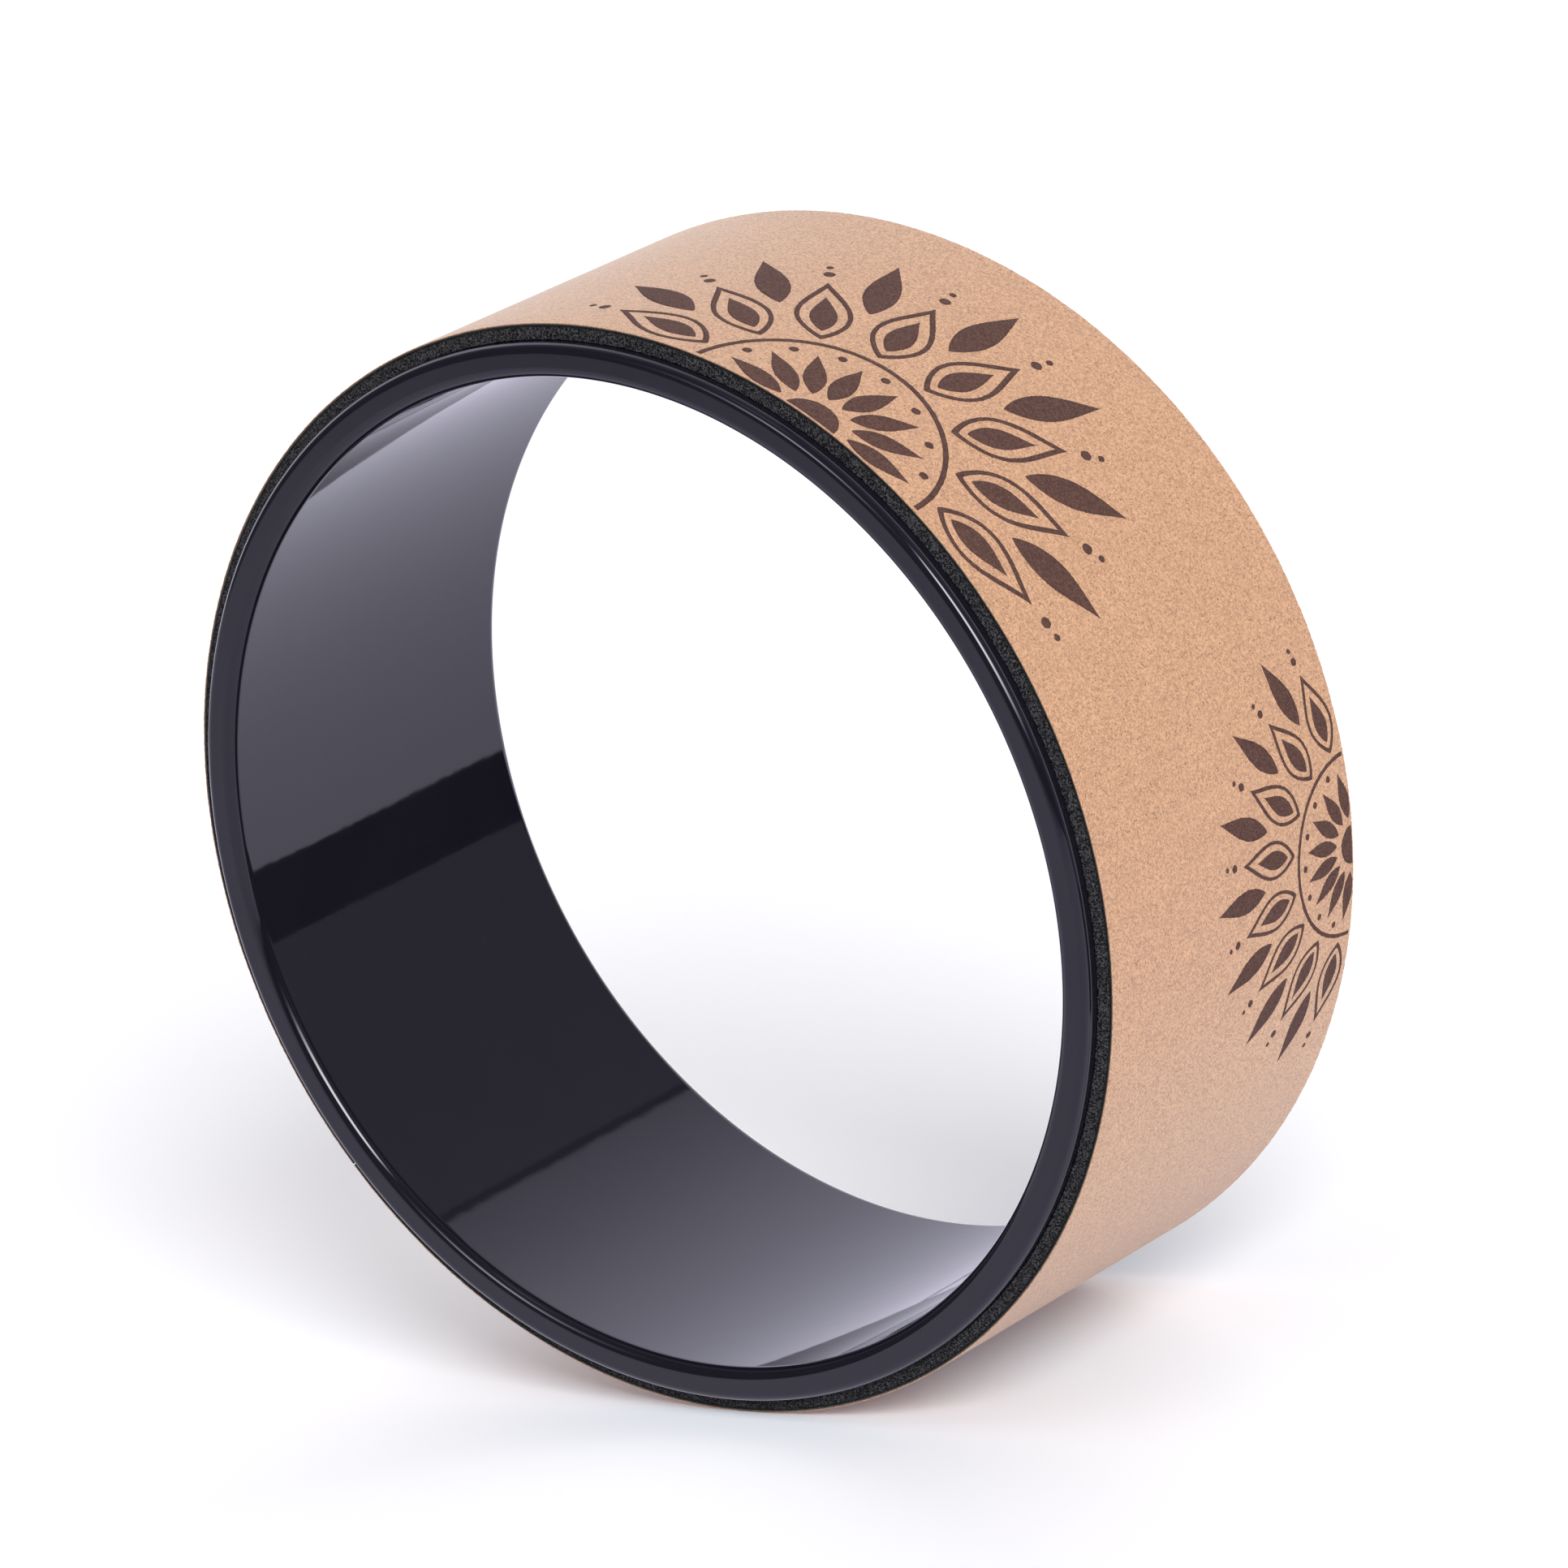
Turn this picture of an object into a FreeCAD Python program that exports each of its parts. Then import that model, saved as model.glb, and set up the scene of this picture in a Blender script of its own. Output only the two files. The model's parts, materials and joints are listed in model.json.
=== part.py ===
import FreeCAD, Part
import math
import os

# Yoga wheel: a rigid moulded hoop with a padded tread wrapped round it.
# Millimetres. The origin is the wheel's centre, the axle line runs along Y, and +Z is up,
# so the wheel stands on its tread at the lowest Z.

# Whole wheel, measured over the cork and over the hoop's end faces.
outer_diameter = 330.0
hoop_width = 126.0

# Moulded hoop: wall from the bore to the seat of the tread, and the rounding of its four edges.
hoop_wall = 10.3
hoop_edge_radius = 2.8

# Tread: one width for all its layers, how far its middle lies from the hoop's towards +Y, and the
# thicknesses of its layers from the hoop outwards.
tread_width = 119.6
tread_shift = 2.2
tape_thickness = 0.25
foam_thickness = 3.85
film_thickness = 0.2
cork_thickness = 0.6

# Butt seam where the two ends of the tread meet, and its place round the wheel in degrees,
# counted from +X towards +Z.
seam_gap = 0.4
seam_angle = 215.0

# Length by which the seam's cutter passes each face that it cuts.
cut_overrun = 5.0

# Radii that follow from the sizes above.
cork_radius = outer_diameter / 2
film_radius = cork_radius - cork_thickness
foam_radius = film_radius - film_thickness
tape_radius = foam_radius - foam_thickness
seat_radius = tape_radius - tape_thickness
bore_radius = seat_radius - hoop_wall

CENTRE = FreeCAD.Vector(0, 0, 0)
AXLE = FreeCAD.Vector(0, 1, 0)
FULL_TURN = 360
QUARTER_TURN = math.pi / 2


def corner_arc(centre_r, centre_y, radius, start):
    """Quarter circle of one rounded edge, anticlockwise from the angle start, radius along X."""
    points = []
    for angle in (start, start + QUARTER_TURN / 2, start + QUARTER_TURN):
        points.append(FreeCAD.Vector(centre_r + radius * math.cos(angle), centre_y + radius * math.sin(angle), 0))
    return Part.Arc(*points).toShape()


def end_points(edge):
    """First and last point of an edge, in its own direction."""
    return edge.valueAt(edge.FirstParameter), edge.valueAt(edge.LastParameter)


def make_hoop():
    """Turns the hoop's section, a rectangle with four rounded corners, about the axle."""
    inner = bore_radius + hoop_edge_radius
    outer = seat_radius - hoop_edge_radius
    side = hoop_width / 2 - hoop_edge_radius
    corners = [(outer, side), (inner, side), (inner, -side), (outer, -side)]
    arcs = []
    for count, (r, y) in enumerate(corners):
        arcs.append(corner_arc(r, y, hoop_edge_radius, count * QUARTER_TURN))
    outline = []
    for arc, following in zip(arcs, arcs[1:] + arcs[:1]):
        outline.append(arc)
        outline.append(Part.LineSegment(end_points(arc)[1], end_points(following)[0]).toShape())
    section = Part.Face(Part.Wire(outline))
    return section.revolve(CENTRE, AXLE, FULL_TURN)


def make_seam_cutter():
    """Thin slab in the plane of the seam, from inside the tread to beyond it."""
    depth = cork_radius - seat_radius + 2 * cut_overrun
    length = tread_width + 2 * cut_overrun
    slab = Part.makeBox(depth, length, seam_gap)
    slab.translate(FreeCAD.Vector(seat_radius - cut_overrun, tread_shift - length / 2, -seam_gap / 2))
    slab.rotate(CENTRE, AXLE, -seam_angle)
    return slab


def make_layer(inner_radius, thickness):
    """One layer of the tread: a ring of square section, open at the seam."""
    start = FreeCAD.Vector(0, tread_shift - tread_width / 2, 0)
    ring = Part.makeCylinder(inner_radius + thickness, tread_width, start, AXLE)
    ring = ring.cut(Part.makeCylinder(inner_radius, tread_width, start, AXLE))
    return ring.cut(make_seam_cutter())


pieces = {
    "hoop": make_hoop(),
    "mounting_tape": make_layer(seat_radius, tape_thickness),
    "foam_strip": make_layer(tape_radius, foam_thickness),
    "laminating_film": make_layer(foam_radius, film_thickness),
    "cork_sheet": make_layer(film_radius, cork_thickness),
}

os.makedirs("parts", exist_ok=True)
for name, shape in pieces.items():
    shape.exportStep("parts/" + name + ".step")
    print(name, "solids", len(shape.Solids), "valid", shape.isValid(), "volume", round(shape.Volume, 1))
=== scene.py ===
import json
import math

import bmesh
import bpy
import numpy as np
from bpy.props import FloatProperty, FloatVectorProperty, IntProperty, PointerProperty
from mathutils import Matrix, Vector


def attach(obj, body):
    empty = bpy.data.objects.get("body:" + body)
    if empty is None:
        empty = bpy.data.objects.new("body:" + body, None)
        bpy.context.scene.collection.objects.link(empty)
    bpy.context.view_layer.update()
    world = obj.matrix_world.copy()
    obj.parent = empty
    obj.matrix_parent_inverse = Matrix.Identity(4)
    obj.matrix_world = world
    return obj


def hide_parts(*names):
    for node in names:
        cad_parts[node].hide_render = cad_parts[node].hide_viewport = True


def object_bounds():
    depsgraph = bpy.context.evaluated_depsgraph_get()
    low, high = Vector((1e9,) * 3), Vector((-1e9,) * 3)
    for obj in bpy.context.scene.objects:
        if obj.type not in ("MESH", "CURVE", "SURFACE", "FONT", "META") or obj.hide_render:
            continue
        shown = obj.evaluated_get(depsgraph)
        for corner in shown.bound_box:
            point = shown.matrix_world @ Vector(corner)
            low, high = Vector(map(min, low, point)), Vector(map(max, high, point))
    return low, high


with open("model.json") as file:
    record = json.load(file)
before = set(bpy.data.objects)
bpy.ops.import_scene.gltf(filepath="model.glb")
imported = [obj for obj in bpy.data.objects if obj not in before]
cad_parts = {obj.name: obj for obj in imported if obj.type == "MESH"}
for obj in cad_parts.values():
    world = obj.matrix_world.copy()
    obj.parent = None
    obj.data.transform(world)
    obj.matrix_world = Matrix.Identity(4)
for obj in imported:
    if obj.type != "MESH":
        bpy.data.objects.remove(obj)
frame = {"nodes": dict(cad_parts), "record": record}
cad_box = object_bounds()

bl_info = {
    "name": "Cork Yoga Wheel",
    "version": (1, 0, 0),
    "blender": (4, 5, 0),
    "location": "3D View > Sidebar > Yoga Wheel",
    "description": "Dresses a packed yoga wheel: polished hoop, pored foam, printed cork and a pale studio",
    "category": "Object",
}

FULL_TURN = 2 * math.pi
QUARTER_TURN = math.pi / 2
MM_PER_METRE = 1000
WHITE = (1.0, 1.0, 1.0, 1.0)

# Numbers of a Mix node's sockets for colours, whose names it shares with those for values.
MIX_FIRST, MIX_SECOND, MIX_RESULT = 6, 7, 2

# Edges that bend by more than these angles stay crisp.
LAYER_CREASE = math.radians(60)
CORK_CREASE = math.radians(50)

# Half width of the hoop's parting line, as an angle on its rounding.
PARTING_SPREAD = math.radians(3.2)

# Seeds of the random draws.
FRONT_PORE_SEEDS, BACK_PORE_SEEDS, GRIT_SEED = (11, 12), (21, 22), 31
CORK_SEED = 41
PRINT_SEED = 51

# The reflected room, in metres from the wheel's centre: its walls, the runs of its rows along Y as
# (start, end, count), and how much larger it is beyond the end of its narrow part.
ROOM_RIGHT, ROOM_LEFT, ROOM_TOP, ROOM_CORNER = 0.335, -1.4, 0.6, 0.05
ROOM_FRONT, ROOM_BEHIND = -1.8, 1.8
ROOM_RUNS = (
    (ROOM_BEHIND, 0.06, 30), (0.06, -0.04, 26), (-0.04, -0.08, 4), (-0.08, -0.9, 60), (-0.9, ROOM_FRONT, 40)
)
ROOM_NARROW_END, ROOM_WIDENING, ROOM_END_ROWS = -0.075, 6.0, 8
WALL_ROWS, CORNER_ROWS, ROOF_ROWS, LEFT_ROWS, GROUND_ROWS = 150, 9, 190, 20, 119

# Strengths of the room's light, and the room's lift that keeps its floor clear of the real one.
ROOM_GAIN, ROOM_LIFT = 1.1, 0.0004
DIM_GLOW, DARK_GLOW, BAND_GLOW, SLANT_GLOW, NEAR_GLOW = 0.30, 0.03, 0.14, 17.0, 0.55
SCREEN_EDGE = 0.14
SCREEN_PLACES = (-SCREEN_EDGE, 0.06, 0.2, 0.36, 0.7)
SCREEN_GLOWS = (0.78, 1.07, 1.25, 1.35, 1.4)
GROUND_DEPTHS = (-2.2, -1.4, -1.0, -0.55, -0.22, -0.09, 0.02, 0.1)
GROUND_GLOWS = (0.1, 0.35, 0.7, 0.85, 0.63, 0.85, 1.15, 1.28)

# Overhead spots as (place across, place along, width, length, strength).
SPOTS = ((-0.22, -1.38, 0.26, 0.36, 6.5), (0.02, -0.36, 0.1, 0.09, 1.0))


class HoopSettings(bpy.types.PropertyGroup):
    """Shape steps and finish of the moulded hoop."""

    round_steps: IntProperty(
        name="Round steps", description="Columns of the hoop's surface round the axle", default=540, min=60
    )
    edge_steps: IntProperty(
        name="Edge steps", description="Rows of the surface over one rounded edge", default=36, min=3
    )
    parting_height: FloatProperty(
        name="Parting line", description="Height of the mould's fine parting line on the outer edges",
        unit="LENGTH", default=0.00005, min=0
    )
    parting_angle: FloatProperty(
        name="Parting angle", description="Place of the parting line on the rounding, from the end face",
        subtype="ANGLE", default=math.radians(77)
    )
    # The parting line's grey, far lighter than the plastic, is partly a painted highlight along the dulled
    # line.
    parting_highlight_color: FloatVectorProperty(
        name="Parting line colour", description="Colour of the dulled parting line",
        subtype="COLOR", size=3, default=(0.062, 0.061, 0.066)
    )
    inner_ease: FloatProperty(
        name="Inner ease", description="How much wider the inner edges are rounded than the outer ones",
        unit="LENGTH", default=0.0008, min=0
    )
    plastic_color: FloatVectorProperty(
        name="Plastic", description="Body colour of the plastic",
        subtype="COLOR", size=3, default=(0.0078, 0.0072, 0.0122)
    )
    roughness: FloatProperty(
        name="Roughness", description="Mean roughness of the polished plastic",
        subtype="FACTOR", default=0.04, min=0, max=1
    )


class TreadSettings(bpy.types.PropertyGroup):
    """Seam, layers and finish of the laminated tread."""

    seam_angle: FloatProperty(
        name="Seam angle", description="Place of the butt seam, from +X towards +Z",
        subtype="ANGLE", default=math.radians(215)
    )
    seam_gap: FloatProperty(
        name="Seam gap", description="Gap between the two ends of the tread",
        unit="LENGTH", default=0.0004, min=0
    )
    foam_step: FloatProperty(
        name="Foam step", description="Length of one column of the foam round the wheel",
        unit="LENGTH", default=0.00024, min=0.0001
    )
    foam_rows: IntProperty(
        name="Foam rows", description="Rows over one cut edge of the foam", default=17, min=3
    )
    front_slant: FloatProperty(
        name="Front slant", description="How far the front cut leans out towards the hoop",
        unit="LENGTH", default=0.0009, min=0
    )
    back_slant: FloatProperty(
        name="Back slant", description="How far the back cut leans out towards the hoop",
        unit="LENGTH", default=0.0005, min=0
    )
    pore_pitch: FloatProperty(
        name="Pore pitch", description="Mean distance between pores of the foam",
        unit="LENGTH", default=0.0005, min=0.0001
    )
    pore_depth: FloatProperty(
        name="Pore depth", description="Depth of the deepest pores", unit="LENGTH", default=0.0004, min=0
    )
    adhesive_setback: FloatProperty(
        name="Adhesive setback", description="How far the adhesive layers stop short of the tread's edges",
        unit="LENGTH", default=0.0003, min=0
    )
    cork_step: FloatProperty(
        name="Cork step", description="Length of one column of the cork round the wheel",
        unit="LENGTH", default=0.0007, min=0.0001
    )
    cork_ragged: FloatProperty(
        name="Ragged edge", description="How far granules break away from the cut edge",
        unit="LENGTH", default=0.00012, min=0
    )
    granule: FloatProperty(
        name="Granule", description="Mean size of the cork's granules",
        unit="LENGTH", default=0.00046, min=0.0001
    )
    cork_color: FloatVectorProperty(
        name="Cork", description="Middle colour of the cork",
        subtype="COLOR", size=3, default=(0.532, 0.287, 0.155)
    )
    foam_color: FloatVectorProperty(
        name="Foam", description="Colour of the foam's cut edge",
        subtype="COLOR", size=3, default=(0.048, 0.048, 0.054)
    )
    adhesive_color: FloatVectorProperty(
        name="Adhesive", description="Colour of the adhesive layers",
        subtype="COLOR", size=3, default=(0.02, 0.018, 0.016)
    )


class PrintSettings(bpy.types.PropertyGroup):
    """The brown half rosettes printed on the cork."""

    ink_height: FloatProperty(
        name="Ink height", description="Height of the ink over the cork",
        unit="LENGTH", default=0.00003, min=0
    )
    ink_depth: FloatProperty(
        name="Ink depth", description="Whole thickness of the ink, part of it in the cork",
        unit="LENGTH", default=0.00006, min=0
    )
    ink_color: FloatVectorProperty(
        name="Ink", description="Colour of the ink", subtype="COLOR", size=3, default=(0.094, 0.044, 0.034)
    )
    ink_ragged: FloatProperty(
        name="Ragged outline", description="How far the outline strays over the granules",
        unit="LENGTH", default=0.00012, min=0
    )
    front_radius: FloatProperty(
        name="Front radius", description="Reach of the half rosette at the front edge",
        unit="LENGTH", default=0.104, min=0
    )
    front_angle: FloatProperty(
        name="Front angle", description="Place of the front half rosette, from +X towards +Z",
        subtype="ANGLE", default=math.radians(56)
    )
    back_radius: FloatProperty(
        name="Back radius", description="Reach of the half rosette at the back edge",
        unit="LENGTH", default=0.07, min=0
    )
    back_angle: FloatProperty(
        name="Back angle", description="Place of the back half rosette, from +X towards +Z",
        subtype="ANGLE", default=math.radians(-9)
    )


class StageSettings(bpy.types.PropertyGroup):
    """Floor, light, reflected studio and camera."""

    floor_size: FloatProperty(
        name="Floor size", description="Side of the square floor", unit="LENGTH", default=16.0, min=1
    )
    floor_color: FloatVectorProperty(
        name="Floor", description="Colour of the floor", subtype="COLOR", size=3, default=(0.92, 0.917, 0.935)
    )
    # Painted light: a cool tint on the floor under the tread that cancels the cork's warm bounce light.
    bounce_cancel_color: FloatVectorProperty(
        name="Cool floor", description="Colour of the floor under the tread",
        subtype="COLOR", size=3, default=(0.79, 0.915, 1.0)
    )
    bounce_cancel_length: FloatProperty(
        name="Cool length", description="Reach of the cool floor along X from the wheel's centre",
        unit="LENGTH", default=0.18, min=0.01
    )
    bounce_cancel_width: FloatProperty(
        name="Cool width", description="Reach of the cool floor along Y from the wheel's centre",
        unit="LENGTH", default=0.06, min=0.01
    )
    floor_glow: FloatProperty(
        name="Floor glow", description="Light that the floor gives by itself, as a table lit from below",
        default=0.105, min=0
    )
    glow_color: FloatVectorProperty(
        name="Glow", description="Colour of the floor's own light",
        subtype="COLOR", size=3, default=(0.81, 0.77, 1.0)
    )
    ambient: FloatProperty(
        name="Ambient", description="Strength of the even light from all round", default=0.46, min=0
    )
    key_strength: FloatProperty(
        name="Key strength", description="Irradiance of the key light from the front right",
        default=2.36, min=0
    )
    key_aim: FloatVectorProperty(
        name="Key aim", description="Azimuth from -Y towards +X, elevation and spread of the key light",
        unit="ROTATION", size=3, default=tuple(map(math.radians, (54, 34, 26)))
    )
    fill_strength: FloatProperty(
        name="Fill strength", description="Irradiance of the fill light from above", default=0.25, min=0
    )
    fill_aim: FloatVectorProperty(
        name="Fill aim", description="Azimuth from -Y towards +X, elevation and spread of the fill light",
        unit="ROTATION", size=3, default=tuple(map(math.radians, (0, 80, 40)))
    )
    back_strength: FloatProperty(
        name="Back strength", description="Irradiance of the low light from behind", default=1.17, min=0
    )
    back_aim: FloatVectorProperty(
        name="Back aim", description="Azimuth from -Y towards +X, elevation and spread of the back light",
        unit="ROTATION", size=3, default=tuple(map(math.radians, (190, 23, 45)))
    )
    camera_aim: FloatVectorProperty(
        name="Camera aim", description="Azimuth from -Y towards +X, elevation and roll of the camera",
        unit="ROTATION", size=3, default=tuple(map(math.radians, (40.407, 14.623, -10.706)))
    )
    camera_distance: FloatProperty(
        name="Camera distance", description="Distance of the wheel's centre along the line of sight",
        unit="LENGTH", default=2.8746, min=0
    )
    camera_pan: FloatVectorProperty(
        name="Camera pan", description="Place of the wheel's centre right of and above the line of sight",
        unit="LENGTH", size=2, default=(-0.005675, -0.008425)
    )
    camera_lens: FloatProperty(
        name="Lens", description="Focal length in millimetres on a 36 mm sensor", default=226.231, min=1
    )


class WheelSettings(bpy.types.PropertyGroup):
    """All settings of the wheel."""

    hoop: PointerProperty(name="Hoop", description="The moulded hoop", type=HoopSettings)
    tread: PointerProperty(name="Tread", description="The laminated tread", type=TreadSettings)
    ink: PointerProperty(name="Print", description="The printed half rosettes", type=PrintSettings)
    stage: PointerProperty(name="Stage", description="Floor, light and camera", type=StageSettings)


def node_reach(node):
    """(least radius, greatest radius, lowest Y, highest Y) of a CAD node about the axle, in metres."""
    mesh = frame["nodes"][node].data
    corners = np.empty(len(mesh.vertices) * 3, np.float32)
    mesh.vertices.foreach_get("co", corners)
    x, y, z = corners.reshape(-1, 3).T
    radius = np.hypot(x, z)
    return float(radius.min()), float(radius.max()), float(y.min()), float(y.max())


def edge_rounding():
    """Radius of the hoop's rounded edges: what the bore's length leaves of the hoop's width, halved."""
    bore = [mount for mount in frame["record"]["mounts"] if mount["name"] == "bore"][0]
    return node_reach("hoop")[3] - bore["dims"]["length_mm"] / 2 / MM_PER_METRE


def around(radius, across, angle):
    """Points at a radius and a place across the wheel, turned about the axle from +X towards +Z."""
    radius, across, angle = np.broadcast_arrays(radius, across, angle)
    return np.stack([radius * np.cos(angle), across, radius * np.sin(angle)], axis=-1)


def ramp(value, start, end):
    """Share from 0 at a start to 1 at an end, held beyond them."""
    return np.clip((value - start) / (end - start), 0, 1)


def grid_faces(columns, rows, close_columns=False, close_rows=False):
    """Four-cornered faces of a grid of columns by rows, its points numbered column by column."""
    first = np.arange(columns if close_columns else columns - 1)
    second = np.arange(rows if close_rows else rows - 1)
    i, j = np.meshgrid(first, second, indexing="ij")
    i_next, j_next = (i + 1) % columns, (j + 1) % rows
    corners = [i * rows + j, i * rows + j_next, i_next * rows + j_next, i_next * rows + j]
    return np.stack(corners, axis=-1).reshape(-1, 4)


def make_object(name, points, faces, material, sharp=None):
    """A smooth-shaded mesh object from points and faces, with edges over the angle sharp kept crisp."""
    mesh = bpy.data.meshes.new(name)
    mesh.from_pydata(points.reshape(-1, 3).tolist(), [], faces)
    mesh.validate()
    mesh.shade_smooth()
    if sharp is not None:
        mesh.set_sharp_from_angle(angle=sharp)
    mesh.materials.append(material)
    made = bpy.data.objects.new(name, mesh)
    bpy.context.scene.collection.objects.link(made)
    return made


def put_attribute(made, name, values):
    """Stores one number per point on a mesh object."""
    layer = made.data.attributes.new(name, "FLOAT", "POINT")
    layer.data.foreach_set("value", np.ascontiguousarray(values, np.float32).ravel())


def strip_angles(step, radius):
    """Angles of a strip's columns from one side of the seam round to the other."""
    tread = bpy.context.scene.yoga_wheel.tread
    half_gap = tread.seam_gap / radius / 2
    columns = int(round(FULL_TURN * radius / step))
    return np.linspace(tread.seam_angle + half_gap, tread.seam_angle + FULL_TURN - half_gap, columns)


def make_strip(name, radius, across, angle, material, sharp):
    """A closed section of radius and Y, which may differ from column to column, carried round the axle over
    the angles, with both ends capped."""
    points = around(radius, across, angle[:, None])
    columns, rows = points.shape[:2]
    faces = grid_faces(columns, rows, close_rows=True).tolist()
    faces.append(list(range(rows))[::-1])
    faces.append(list(range((columns - 1) * rows, columns * rows)))
    return make_object(name, points, faces, material, sharp)


def square_section(inner, outer, low, high, side_rows, face_rows):
    """Radius and Y of a rectangle's outline, anticlockwise, with rows on its sides and faces."""
    rise = np.linspace(inner, outer, side_rows)
    run = np.linspace(low, high, face_rows + 2)[1:-1]
    radius = np.concatenate([rise, np.full(face_rows, outer), rise[::-1], np.full(face_rows, inner)])
    across = np.concatenate([np.full(side_rows, low), run, np.full(side_rows, high), run[::-1]])
    return radius, across


def add_node(tree, kind, values=None, **settings):
    """Adds a node, sets its settings by name and its inputs by name or number."""
    made = tree.nodes.new(kind)
    for key, value in settings.items():
        setattr(made, key, value)
    for key, value in (values or {}).items():
        made.inputs[key].default_value = value
    return made


def add_attribute(tree, name):
    """The number that a mesh stores at each point under a name, as a socket."""
    return add_node(tree, "ShaderNodeAttribute", attribute_name=name).outputs["Fac"]


def add_math(tree, operation, first, second=None, third=None):
    """A Math node over numbers or sockets, as its output socket."""
    made = add_node(tree, "ShaderNodeMath", operation=operation)
    for place, value in enumerate((first, second, third)):
        if isinstance(value, bpy.types.NodeSocket):
            tree.links.new(value, made.inputs[place])
        elif value is not None:
            made.inputs[place].default_value = value
    return made.outputs[0]


def add_range(tree, value, low, high, to_low=0.0, to_high=1.0):
    """Maps a socket smoothly from low..high to to_low..to_high, held at both ends."""
    made = add_node(tree, "ShaderNodeMapRange", interpolation_type="SMOOTHSTEP")
    for place, number in enumerate((low, high, to_low, to_high)):
        made.inputs[place + 1].default_value = number
    tree.links.new(value, made.inputs[0])
    return made.outputs[0]


def add_mix(tree, factor, first, second, share=None):
    """Mixes two colours, given as triples or sockets, by a socket, or by a share of it."""
    made = add_node(tree, "ShaderNodeMix", data_type="RGBA")
    if share is not None:
        factor = add_math(tree, "MULTIPLY", factor, share)
    tree.links.new(factor, made.inputs["Factor"])
    for place, value in ((MIX_FIRST, first), (MIX_SECOND, second)):
        if isinstance(value, bpy.types.NodeSocket):
            tree.links.new(value, made.inputs[place])
        else:
            made.inputs[place].default_value = (*value, 1.0)
    return made.outputs[MIX_RESULT]


def new_group(name, outputs):
    """A node group from a place and a size to named values, as (tree, input sockets, output node, scale)."""
    tree = bpy.data.node_groups.new(name, "ShaderNodeTree")
    for label, kind in (("Vector", "NodeSocketVector"), ("Size", "NodeSocketFloat")):
        tree.interface.new_socket(label, in_out="INPUT", socket_type=kind)
    for label in outputs:
        tree.interface.new_socket(label, in_out="OUTPUT", socket_type="NodeSocketFloat")
    inputs = tree.nodes.new("NodeGroupInput").outputs
    scale = add_math(tree, "DIVIDE", 1.0, inputs["Size"])
    return tree, inputs, tree.nodes.new("NodeGroupOutput"), scale


def add_texture(tree, kind, place, scale, factor=None, values=None, **settings):
    """A texture node at a place, with a scale times a factor."""
    made = add_node(tree, kind, values, **settings)
    tree.links.new(place, made.inputs["Vector"])
    if factor is not None:
        scale = add_math(tree, "MULTIPLY", scale, factor)
    tree.links.new(scale, made.inputs["Scale"])
    return made


def mottling_group():
    """Soft clouds of a given size, from 0 to 1, for finishes that are never quite even."""
    name = "Soft Mottling"
    if name in bpy.data.node_groups:
        return bpy.data.node_groups[name]
    darkest, lightest = 0.3, 0.7
    tree, inputs, outside, scale = new_group(name, ["Cloud"])
    detail = {"Detail": 3.0, "Roughness": 0.55}
    noise = add_texture(tree, "ShaderNodeTexNoise", inputs["Vector"], scale, values=detail)
    tree.links.new(add_range(tree, noise.outputs["Fac"], darkest, lightest), outside.inputs["Cloud"])
    return tree


def granule_group():
    """Pressed cork: the tone of each granule, the joints between granules, dark flecks and the height."""
    name = "Cork Granules"
    if name in bpy.data.node_groups:
        return bpy.data.node_groups[name]
    drift_scale, drift_reach = 0.9, 0.9
    fleck_scale, fine_scale = 0.62, 0.45
    grain_share, fine_share = 0.6, 0.4
    joint_width, joint_drop = 0.12, -0.6
    rare_from, rare_to, fleck_core, fleck_reach, fleck_drop = 0.84, 0.9, 0.25, 0.55, -0.5
    labels = ("Tone", "Joint", "Fleck", "Height")
    tree, inputs, outside, scale = new_group(name, labels)
    place = inputs["Vector"]
    drift = add_texture(tree, "ShaderNodeTexNoise", place, scale, drift_scale, {"Detail": 2.0})
    push = add_node(tree, "ShaderNodeVectorMath", operation="SCALE")
    tree.links.new(drift.outputs["Color"], push.inputs[0])
    tree.links.new(add_math(tree, "MULTIPLY", inputs["Size"], drift_reach), push.inputs["Scale"])
    moved = add_node(tree, "ShaderNodeVectorMath", operation="ADD")
    tree.links.new(place, moved.inputs[0])
    tree.links.new(push.outputs[0], moved.inputs[1])
    bent = moved.outputs[0]
    cells = add_texture(tree, "ShaderNodeTexVoronoi", bent, scale, feature="F1")
    edges = add_texture(tree, "ShaderNodeTexVoronoi", bent, scale, feature="DISTANCE_TO_EDGE")
    spots = add_texture(tree, "ShaderNodeTexVoronoi", bent, scale, fleck_scale, feature="F1")
    detail = {"Detail": 3.0, "Roughness": 0.6}
    fine = add_texture(tree, "ShaderNodeTexNoise", place, scale, fine_scale, detail)
    chance = []
    for voronoi in (cells, spots):
        channels = add_node(tree, "ShaderNodeSeparateColor")
        tree.links.new(voronoi.outputs["Color"], channels.inputs[0])
        chance.append(channels.outputs[0])
    grain = add_math(tree, "MULTIPLY", chance[0], grain_share)
    tone = add_math(tree, "MULTIPLY_ADD", fine.outputs["Fac"], fine_share, grain)
    joint = add_range(tree, edges.outputs["Distance"], 0.0, joint_width, 1.0, 0.0)
    chosen = add_range(tree, chance[1], rare_from, rare_to)
    near = add_range(tree, spots.outputs["Distance"], fleck_core, fleck_reach, 1.0, 0.0)
    fleck = add_math(tree, "MULTIPLY", chosen, near)
    height = add_math(tree, "MULTIPLY_ADD", joint, joint_drop, tone)
    height = add_math(tree, "MULTIPLY_ADD", fleck, fleck_drop, height)
    for label, value in zip(labels, (tone, joint, fleck, height)):
        tree.links.new(value, outside.inputs[label])
    return tree


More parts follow.
